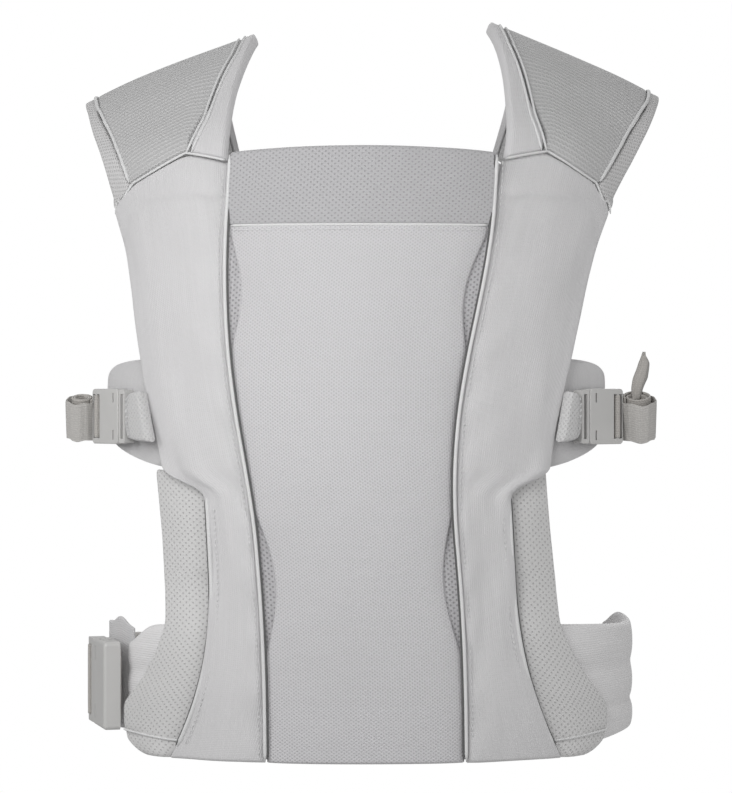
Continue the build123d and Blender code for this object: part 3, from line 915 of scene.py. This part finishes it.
def make_shoulder(name, side):
    shell = make_shell(side)

    def region(low_of, high_of, height=0.0):
        def place(a, b, lift):
            rough = mix(FOOT + 20, STRAP_END, b)
            s = mix(low_of(rough), high_of(rough), a)
            u = mix(cap_seam(s) + 0.6, STRAP_END - 1.5, b)
            return shell(s, u, lift + height * math.sin(math.pi * a))
        return place

    parts = (("cap", inner_seam, outer_seam, 78, RIBBED, "ribbed_mesh", 1.2, 9.6),
             ("neck_edge", lambda u: 0.0, inner_seam, 16, KNIT, "smooth_knit", 0.0, 9.2),
             ("outer_edge", outer_seam, lambda u: 1.0, 12, EDGE, "ribbed_mesh", 0.0, 9.2))
    for part, low_of, high_of, width, material, slot, height, thick in parts:
        strap = pad(f"{name}_shoulder_{part}", region(low_of, high_of, height), (width, 285), thick, 2.4, 4.5)
        padded(strap, material, slot, [f"{name}_shoulder_strap"])
    lines = []
    for seam_of, start, shift in ((outer_seam, FOOT + 19, 0.0), (inner_seam, FOOT + 36, -0.014),
                                  (inner_seam, FOOT + 36, 0.022)):
        stops = [mix(start, STRAP_END - 4, i / 60) for i in range(61)]
        lines.append([shell(seam_of(u) + shift, u, 4.9) for u in stops])
    cord(f"{name}_outer_cord", lines[0], 1.3)
    cord(f"{name}_inner_cord_a", lines[1], 0.9)
    cord(f"{name}_inner_cord_b", lines[2], 0.9)


def make_back_strap(name, side):
    lift_of = strap_place(back_route(side))

    def place(s, t, lift):
        return lift_of(s, t, lift + ripple(s * 50, side * 21, t * 290, 30, 0.7))

    strap = pad(f"{name}_back_strap_cloth", place, (60, 285), 7.4, 3.0, 5.0)
    padded(strap, STRAP_KNIT, "strap_knit", [f"{name}_back_strap"])
    rows = [[place(s, mix(0.01, 0.99, i / 60), 3.9) for i in range(61)] for s in (0.1, 0.9)]
    rows += [[place(mix(0.1, 0.9, i / 20), t, 3.9) for i in range(21)] for t in (0.955, 0.985)]
    sewing(f"{name}_back_strap_stitches", rows)


def leg_panel_half(z):
    """Half width at the leg panel's outer edge: it spreads downwards and rounds in at the hem."""
    share = min(max((99.0 - z) / 63.0, 0.0), 1.0)
    half = mix(LEG_EDGE, LEG_SPREAD, share ** 1.6)
    if z < LEG_ROUND:
        half -= LEG_ROUND * ((LEG_ROUND - z) / LEG_ROUND) ** 2.5
    return half


def make_leg_panel(name, side):
    """Mesh side of the leg opening: padding above, spreading over the belt at its foot."""
    low = box_mm(f"{name}_leg_panel")[0].z
    high = box_mm(f"{name}_leg_bolster")[1].z

    def inner(z):
        if z > LEG_CURVE:
            return edge_x(side, LEG_HALF - 6, z)
        return band_x(side, z) - side * 1.5

    def outer(z):
        return side * mix(leg_panel_half(z), 135.0, ease((z - 80) / 40)) + lean(z)

    def place(s, t, lift):
        z = mix(low, high, t)
        near = ease((z - 84) / 46)
        middle = mix(15.4, 8.2, near)
        swell = mix(1.6, 2.2, near) * math.sin(math.pi * min(s * 1.1, 1.0))
        valley = -2.6 * bump(s, 0.0, 0.18) * (1 - 0.5 * near)
        hem = -1.6 * bump(z, 12 + 4 * s, 1.3)
        offset = middle + swell + valley + hem + ripple(s * 40, side * 5, z, 28, 0.9)
        thick = lift * mix(0.75, 1.0, near)
        x = mix(inner(z), outer(z), s)
        return torso(angle_at(x, middle), offset + thick, z)

    panel = pad(f"{name}_leg_panel_cloth", place, (46, high - low), 7.6, 4.0, 3.6)
    padded(panel, BOLSTER, "bolster_mesh", [f"{name}_leg_bolster", f"{name}_leg_panel"])
    hem_line = []
    for i in range(31):
        s = mix(0.02, 0.96, i / 30)
        hem_line.append(place(s, (13 + 5 * s - low) / (high - low), 4.6))
    cord(f"{name}_foot_cord", hem_line, 0.8)


def make_wing(name, side):
    """Soft wing behind the side buckle, with rounded outer corners."""
    low, high = box_mm(f"{name}_buckle_wing")
    middle = (low.z + high.z) / 2
    half = (high.z - low.z) / 2

    def place(s, t, lift):
        turn = 2 * t - 1
        z = middle + half * turn
        corner = 26 * turn ** 11 if turn > 0 else 44 * abs(turn) ** 3.6
        offset = 7.0 + lift + ripple(s * 50, side * 3, z, 25, 0.6)
        return between(s, edge_x(side, 112, z), edge_x(side, 176 - corner, z), 8, offset, z)

    wing = pad(f"{name}_buckle_wing_cloth", place, (72, high.z - low.z), 7.6, 5.0, 4.0)
    inflate(wing, 3.0, 1.2)
    padded(wing, KNIT, "smooth_knit", [f"{name}_buckle_wing"])


# ---------------------------------------------------------------- belt


BELT_SHORT = -61.0
BELT_LONG = 110.0
CHANNELS = (0.27, 0.62)


def belt_edges(angle):
    """Lowest and highest z of the belt."""
    side_share = ease((abs(angle) - 30) / 50)
    low = 2.0 + 10.0 * side_share
    high = 94.0 - 4.0 * side_share
    taper = ease((-angle - 50) / 12) * 4
    rise = 4.0 * ease((angle - 80) / 25)
    return low + taper + rise, high - taper + rise


def quilted(s):
    """Fullness of the belt between its sewn channels, from 0 to 1."""
    for first, last in zip((0.0, *CHANNELS), (*CHANNELS, 1.0)):
        if s <= last:
            return math.sin(math.pi * (s - first) / (last - first)) ** 0.5 if s > first else 0.0
    return 0.0


def make_belt():
    def place(s, t, lift):
        angle = mix(BELT_SHORT, BELT_LONG, t)
        low, high = belt_edges(angle)
        corner = 9.0 * (bump(t, 1.0, 0.03) + bump(t, 0.0, 0.03)) * (2 * s - 1) ** 3
        full = mix(0.34, 1.0, quilted(s))
        wave = ripple(s * 90, 3, angle * 3.4, 30, 0.8) * math.sin(math.pi * s)
        return torso(angle, 7.4 + lift * full + wave, mix(low, high, s) - corner)

    belt = pad("waist_belt_cloth", place, (88, 545), 9.2, 3.4, 4.0)
    padded(belt, BELT, "belt_knit", ["waist_belt_cover", "waist_belt_foam", "waist_belt_lining"])
    rows = []
    for s in CHANNELS:
        rows.append([place(s, mix(0.01, 0.99, i / 120), 4.9) for i in range(121)])
    sewing("waist_belt_stitches", rows)

    def guard_place(s, t, lift):
        angle = mix(-62.0, -104.0, t)
        crown = 6.0 * math.cos(math.radians((angle + 80) * 3))
        z = mix(18 - crown / 2, 84 + crown + 6 * bump(angle, -70, 5), s)
        return torso(angle, 4.0 + lift, z)

    guard = pad("waist_buckle_guard_cloth", guard_place, (70, 140), 2.0, 1.0, 4.0)
    padded(guard, KNIT, "smooth_knit", ["waist_buckle_guard"])


# ---------------------------------------------------------------- webbing and buckles


class Local:
    """Frame of a buckle: u along the pull, v across the webbing, w out from the body."""

    def __init__(self, origin, pull, out):
        self.origin = origin
        self.pull = pull
        self.out = out
        self.across = out.cross(pull)

    def at(self, u, v, w):
        return self.origin + self.pull * u + self.across * v + self.out * w


def side_local(side):
    angle = angle_at(edge_x(side, SIDE_X, SIDE_HEIGHT), SIDE_OFFSET)
    a = math.radians(angle)
    wide = TORSO_HALF_WIDTH + SIDE_OFFSET
    deep = half_depth(SIDE_OFFSET, SIDE_HEIGHT)
    pull = Vector((side * math.cos(a) * wide, side * math.sin(a) * deep, 0)).normalized()
    out = Vector((math.sin(a) * deep, -math.cos(a) * wide, 0)).normalized()
    return Local(torso(angle, SIDE_OFFSET, SIDE_HEIGHT) - pull * (SIDE_END / 2), pull, out)


def waist_local():
    turn = math.radians(WAIST_TURN)
    pull = Vector((math.cos(turn), -math.sin(turn), 0))
    out = Vector((-math.sin(turn), -math.cos(turn), 0))
    return Local(torso(WAIST_ANGLE, WAIST_OFFSET, WAIST_HEIGHT) - pull * WAIST_MIDDLE, pull, out)


def ribbon(name, path, across, width, thickness, loop=False):
    """Webbing along a path; across is one direction or one for each point."""
    half = width / 2
    flat = thickness / 2
    ring = [(-half, 0.0), (-half + 0.25, flat * 0.8), (-half + 1.1, flat), (-half + 1.6, flat - 0.12)]
    ring += [(half * k / 4, flat) for k in range(-3, 4)]
    ring += [(half - 1.6, flat - 0.12), (half - 1.1, flat), (half - 0.25, flat * 0.8), (half, 0.0)]
    ring += [(v, -n) for v, n in reversed(ring[1:-1])]
    rows = []
    uv = []
    run = 0.0
    count = len(path)
    for i, point in enumerate(path):
        before = path[i - 1] if i or loop else path[0]
        after = path[(i + 1) % count] if loop else path[min(i + 1, count - 1)]
        side = (across[i] if isinstance(across, list) else across).normalized()
        normal = (after - before).normalized().cross(side).normalized()
        if i:
            run += (point - path[i - 1]).length
        rows.append([point + side * v + normal * n for v, n in ring])
        uv.append([(v * MM, run * MM) for v, n in ring])
    if loop:
        rows.append(rows[0])
        uv.append([(v, (run + 4) * MM) for v, unused in uv[0]])
    obj = to_mesh(name, rows, closed=True, uv=uv)
    with reshaped(obj) as shape:
        if loop:
            bmesh.ops.remove_doubles(shape, verts=shape.verts, dist=0.00001)
        else:
            close_ends(shape)
        bmesh.ops.recalc_face_normals(shape, faces=shape.faces)
        for face in shape.faces:
            face.smooth = len(face.verts) == 4
    return obj


def smooth_path(points, count):
    return [catmull(points, i / count) for i in range(count + 1)]


def flat_webbing(path):
    """Measures how long a path is; nothing uses the length."""
    length = sum((b - a).length for a, b in zip(path, path[1:]))


def webbing(name, path, across, width, thickness, body, nodes=()):
    """Flat webbing along an open path."""
    piece = ribbon(name, path, across, width, thickness)
    flat_webbing(path)
    return dress(piece, WEBBING, "webbing", body, nodes)


def webbing_loop(name, path, width, thickness, body, node):
    """Webbing closed round a bar."""
    piece = ribbon(name, path, UP, width, thickness, loop=True)
    dress(piece, WEBBING, "webbing", body, [node])


def bar_path(local, u, height, web):
    """Closed path of webbing round a bar."""
    reach = BAR + 0.25 + web / 2
    middle = height / 2
    deep = height / 2 + 0.25 + web / 2
    points = []
    for a in circle(28):
        out = middle + deep * squared(math.sin(a), 0.55)
        points.append(local.at(u + reach * squared(math.cos(a), 0.55) * 0.93, 0, out))
    return points


ROLL_TILT = 0.32
ROLL_LEAN = UP - Vector((0, ROLL_TILT, 0))
ROLL_OUT = 9.0
TAB_HALF = 17.6


def make_roll(name, side, local, radius, roll_u):
    """Rolled-up webbing on the socket and the elastic keeper round it."""
    middle = local.at(roll_u, 0, ROLL_OUT + 1.0)

    # Its turns drift, and it leans forward, so its open top shows.
    path = []
    turns = 2.3
    steps = 96
    for i in range(steps + 1):
        share = i / steps
        swing = math.radians(200) + 2 * math.pi * turns * share
        r = (radius - 0.4) * (1 - 0.44 * share ** 0.8)
        u = roll_u + r * 1.02 * math.cos(swing)
        w = ROLL_OUT + 1.0 + r * 0.98 * math.sin(swing)
        drift = 1.0 * math.sin(3.0 * share + side) - 2.0 * share
        spot = local.at(u, 0, w)
        path.append(spot + UP * (drift + ROLL_TILT * (spot.y - middle.y)))
    webbing(f"{name}_rolled_webbing", path, ROLL_LEAN, SIDE_WEB, 1.25, f"{name}_socket",
            [f"{name}_webbing_roll"])

    # Wide elastic keeper, wrinkled and leaning with the roll.
    keeper_width = 28.0
    reach = radius + 1.7
    ring = []
    for a in circle(72):
        waves = 0.025 * math.sin(3 * a + side) + 0.014 * math.sin(11 * a) + 0.010 * math.sin(17 * a + 1)
        u = roll_u + reach * (1 + waves) * math.cos(a)
        w = ROLL_OUT + 1.6 + (reach + 0.6) * (1 + waves) * math.sin(a)
        spot = local.at(u, 0, w)
        ring.append(spot + UP * (ROLL_TILT * (spot.y - middle.y) - 1.4 + 0.6 * math.sin(5 * a)))
    keeper = ribbon(f"{name}_elastic_keeper", ring, ROLL_LEAN, keeper_width, 1.0, loop=True)
    subdivide(keeper)
    flat_webbing(ring)
    dress(keeper, ELASTIC, "elastic", f"{name}_keeper", [f"{name}_keeper"])


def make_tab(name, side, local):
    """Knitted tab that holds the plug to the band."""
    def tab_reach(v):
        return (abs(local.origin.x) - abs(band_x(side, SIDE_HEIGHT + v)) + 1.0) / abs(local.pull.x)

    def place(s, t, lift):
        across = 2 * t - 1
        w = 5.0 + 1.2 * math.sin(math.pi * s)
        pinch = 1 - 0.10 * ease(s) ** 2
        v = TAB_HALF * pinch * across
        u = mix(-tab_reach(v * side), 1.6 - 5.0 * across ** 4, s)
        thick = lift * mix(1.0, 0.62, ease((s - 0.6) / 0.4))
        return local.at(u, v, w + thick)

    tab = pad(f"{name}_buckle_tab_cloth", place, (tab_reach(0) + 1.6, 36), 9.0, 2.2, 3.0)
    padded(tab, TAB, "smooth_knit", [f"{name}_buckle_tab"])
    rows = [[place(s, mix(0.06, 0.94, i / 20), 4.9) for i in range(21)] for s in (0.80, 0.68)]
    sewing(f"{name}_tab_stitches", rows)


def make_free_tail(local, roll_u):
    """Folded end of the webbing that stands up from the left roll."""
    tail_points = [(roll_u + 0.6, 12.0, 0.0), (roll_u + 1.2, 20.0, 0.4), (roll_u + 4.6, 29.0, 1.0),
                   (roll_u + 8.2, 38.0, 0.6), (roll_u + 8.8, 45.8, -0.6)]
    line = smooth_path([local.at(u, v, ROLL_OUT + w) for u, v, w in tail_points], 30)
    turn = local.pull * math.cos(0.5) + local.out * math.sin(0.5)
    fold = local.out * 1.2 + local.pull * 0.4
    rows = []
    for i, point in enumerate(line):
        half = along(((0.0, 3.0), (0.45, 5.4), (0.75, 4.0), (1.0, 0.15)), i / 30)
        rows.append([point - turn * half, point + fold * 1.2, point + turn * half,
                     point + turn * (half - 0.3) - fold * 0.6, point + fold * 0.1,
                     point - turn * (half - 0.3) - fold * 0.6])
    uv = [[(k * 0.004, i * 0.001) for k in range(6)] for i in range(31)]
    tail = to_mesh("left_free_tail", rows, closed=True, uv=uv)
    weld([tail])
    with reshaped(tail) as shape:
        close_ends(shape)
    dress(tail, WEBBING, "webbing", "left_socket", ["left_webbing_tail"])


def make_side_webbing(name, side):
    local = side_local(side)
    radius = 10.5 if side > 0 else 8.5
    roll_u = SIDE_END + 0.8 + radius + 1.2 + 1.2
    socket = f"{name}_socket"

    path = bar_path(local, SIDE_BAR, 9.0, 0.9)
    webbing_loop(f"{name}_bar_webbing", path, SIDE_WEB, 0.9, socket, f"{name}_webbing_loop")
    make_roll(name, side, local, radius, roll_u)

    # Webbing from the back strap round the ribs to the bar.
    ends = back_route(-side)[-1]
    start_x = (ends[0].x + ends[1].x) / 2
    start = side * 180 - angle_at(start_x, 9.0)
    dip = ROLL_OUT - radius - 3.8
    points = []
    ribs = ((start - side * 4, 14.5, 9.0), (side * 128, 10.0, 10.0), (side * 116, 5.0, 11.0),
            (side * 104, 1.5, 12.0), (side * 93, 0.0, 12.5))
    for angle, drop, offset in ribs:
        points.append(torso(angle, offset, SIDE_HEIGHT + drop))
    for u, w in ((roll_u + 6, dip), (roll_u - 6, dip), (SIDE_END + 1.2, -1.6), (SIDE_BAR + 2.5, -1.6)):
        points.append(local.at(u, 0, w))
    line = smooth_path(points, 96)
    web = webbing(f"{name}_side_webbing", line, UP, SIDE_WEB, 1.5, None, [f"{name}_strap_webbing"])
    far = local.at(roll_u + 12, 0, dip) * MM
    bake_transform(web)

    make_tab(name, side, local)
    if side > 0:
        make_free_tail(local, roll_u)


def make_waist_keeper():
    """Elastic ring that holds the tail against the webbing."""
    middle = torso(-116, 11.0, WAIST_HEIGHT)
    a = math.radians(-116)
    out = Vector((math.sin(a) * half_depth(9, 0), -math.cos(a) * (TORSO_HALF_WIDTH + 9), 0)).normalized()
    ring = []
    for b in circle(48):
        rise = UP * (WAIST_WEB / 2 + 1.9) * squared(math.cos(b), 0.4)
        ring.append(middle + rise + out * 4.8 * squared(math.sin(b), 0.6))
    keeper_width = 14.0
    keeper = ribbon("waist_elastic_keeper", ring, out.cross(UP), keeper_width, 1.0, loop=True)
    flat_webbing(ring)
    dress(keeper, ELASTIC, "elastic", "waist_keeper", ["waist_keeper"])


def make_waist_webbing():
    local = waist_local()
    inner = BELT_OUT + 0.4 + 0.8
    angles = [(BELT_LONG - 12, inner), (BELT_LONG - 6, inner), (BELT_LONG, inner - 0.2)]
    angles += [(BELT_LONG + 5, inner - 2.0)]
    angles += [(BELT_LONG + 10 + 6 * k, 9.8) for k in range(24)]
    line = smooth_path([torso(angle, offset, WAIST_HEIGHT) for angle, offset in angles], 150)
    web = webbing("waist_back_webbing", line, UP, WAIST_WEB, 1.5, None, ["waist_webbing"])
    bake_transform(web)

    path = bar_path(local, PLUG_BAR, 12.0, 0.9)
    webbing_loop("waist_plug_webbing", path, WAIST_WEB, 0.9, "waist_plug", "waist_webbing_loop")

    line = smooth_path([torso(angle, 12.2, WAIST_HEIGHT) for angle in range(-104, -147, -6)], 50)
    tail = webbing("waist_tail_webbing", line, UP, WAIST_WEB, 1.5, None, ["waist_webbing_tail"])
    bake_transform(tail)
    make_waist_keeper()

    path = bar_path(local, WAIST_BAR, 7.2, 1.2)
    webbing_loop("waist_anchor_cloth", path, WAIST_WEB, 1.2, "carrier", "waist_anchor_webbing")
    line = smooth_path([local.at(WAIST_BAR - back, 0, -1.05) for back in (26, 13, 0)], 20)
    webbing("waist_anchor_sewn", line, UP, WAIST_WEB, 1.4, "carrier")


make_panel()
make_head_support()
for side_name, side_sign in SIDES.items():
    make_band(side_name, side_sign)
    make_leg_panel(side_name, side_sign)
    make_wing(side_name, side_sign)
    make_shoulder(side_name, side_sign)
    make_back_strap(side_name, side_sign)
    make_side_webbing(side_name, side_sign)
make_belt()
make_waist_webbing()

# The buckles are the CAD nodes themselves.
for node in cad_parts.values():
    if not node.hide_render:
        node.data.materials.clear()
        node.data.materials.append(PLASTIC)


# ---------------------------------------------------------------- stage


def make_world(scene):
    """Even white light, dimmer on the object than the wall of the studio looks."""
    world = bpy.data.worlds.new("studio")
    scene.world = world
    world.use_nodes = True
    tree = world.node_tree
    background = tree.nodes["Background"]
    path = tree.nodes.new("ShaderNodeLightPath")
    level = tree.nodes.new("ShaderNodeMapRange")
    level.inputs["To Min"].default_value = 0.40
    level.inputs["To Max"].default_value = 1.0
    tree.links.new(path.outputs["Is Camera Ray"], level.inputs["Value"])
    tree.links.new(level.outputs[0], background.inputs["Strength"])
    background.inputs["Color"].default_value = (1, 1, 1, 1)


def make_floor():
    """Pale floor, as bright as the wall of the studio when seen directly."""
    bpy.ops.mesh.primitive_plane_add(size=9, location=(0, 0, -0.75))
    floor = bpy.context.object
    floor.name = "floor"
    material = bpy.data.materials.new("floor")
    material.use_nodes = True
    tree = material.node_tree
    surface = tree.nodes["Principled BSDF"]
    surface.inputs["Base Color"].default_value = (0.7, 0.7, 0.7, 1)
    glow = tree.nodes.new("ShaderNodeEmission")
    glow.inputs["Color"].default_value = (1, 1, 1, 1)
    seen = tree.nodes.new("ShaderNodeLightPath")
    either = tree.nodes.new("ShaderNodeMixShader")
    tree.links.new(seen.outputs["Is Camera Ray"], either.inputs[0])
    tree.links.new(surface.outputs[0], either.inputs[1])
    tree.links.new(glow.outputs[0], either.inputs[2])
    tree.links.new(either.outputs[0], tree.nodes["Material Output"].inputs["Surface"])
    floor.data.materials.append(material)


def make_light(scene, name, place, target, size, power):
    light = bpy.data.lights.new(name, "AREA")
    light.energy = power
    light.size = size
    lamp = bpy.data.objects.new(name, light)
    scene.collection.objects.link(lamp)
    lamp.location = place
    lamp.rotation_euler = (Vector(target) - Vector(place)).to_track_quat("-Z", "Y").to_euler()
    lamp.visible_camera = False


def make_camera(scene):
    camera = bpy.data.cameras.new("camera")
    camera.lens = 133.5
    camera.sensor_width = 36
    viewer = bpy.data.objects.new("camera", camera)
    scene.collection.objects.link(viewer)
    viewer.location = (0, -2.145, 0.252)
    viewer.rotation_euler = (math.radians(90), 0, 0)
    scene.camera = viewer


def make_stage():
    scene = bpy.context.scene
    scene.view_settings.view_transform = "Standard"
    make_world(scene)
    make_floor()
    middle = (0, 0, 0.25)
    make_light(scene, "near", (-0.15, -0.66, 0.43), (0.0, -0.12, 0.30), 0.30, 1.7)
    make_light(scene, "key", (-1.7, -1.1, 0.9), middle, 0.9, 12)
    make_light(scene, "fill", (1.7, -1.3, 0.6), middle, 1.8, 10)
    make_light(scene, "rim", (0.4, 1.8, 1.6), middle, 1.2, 14)
    make_camera(scene)


make_stage()
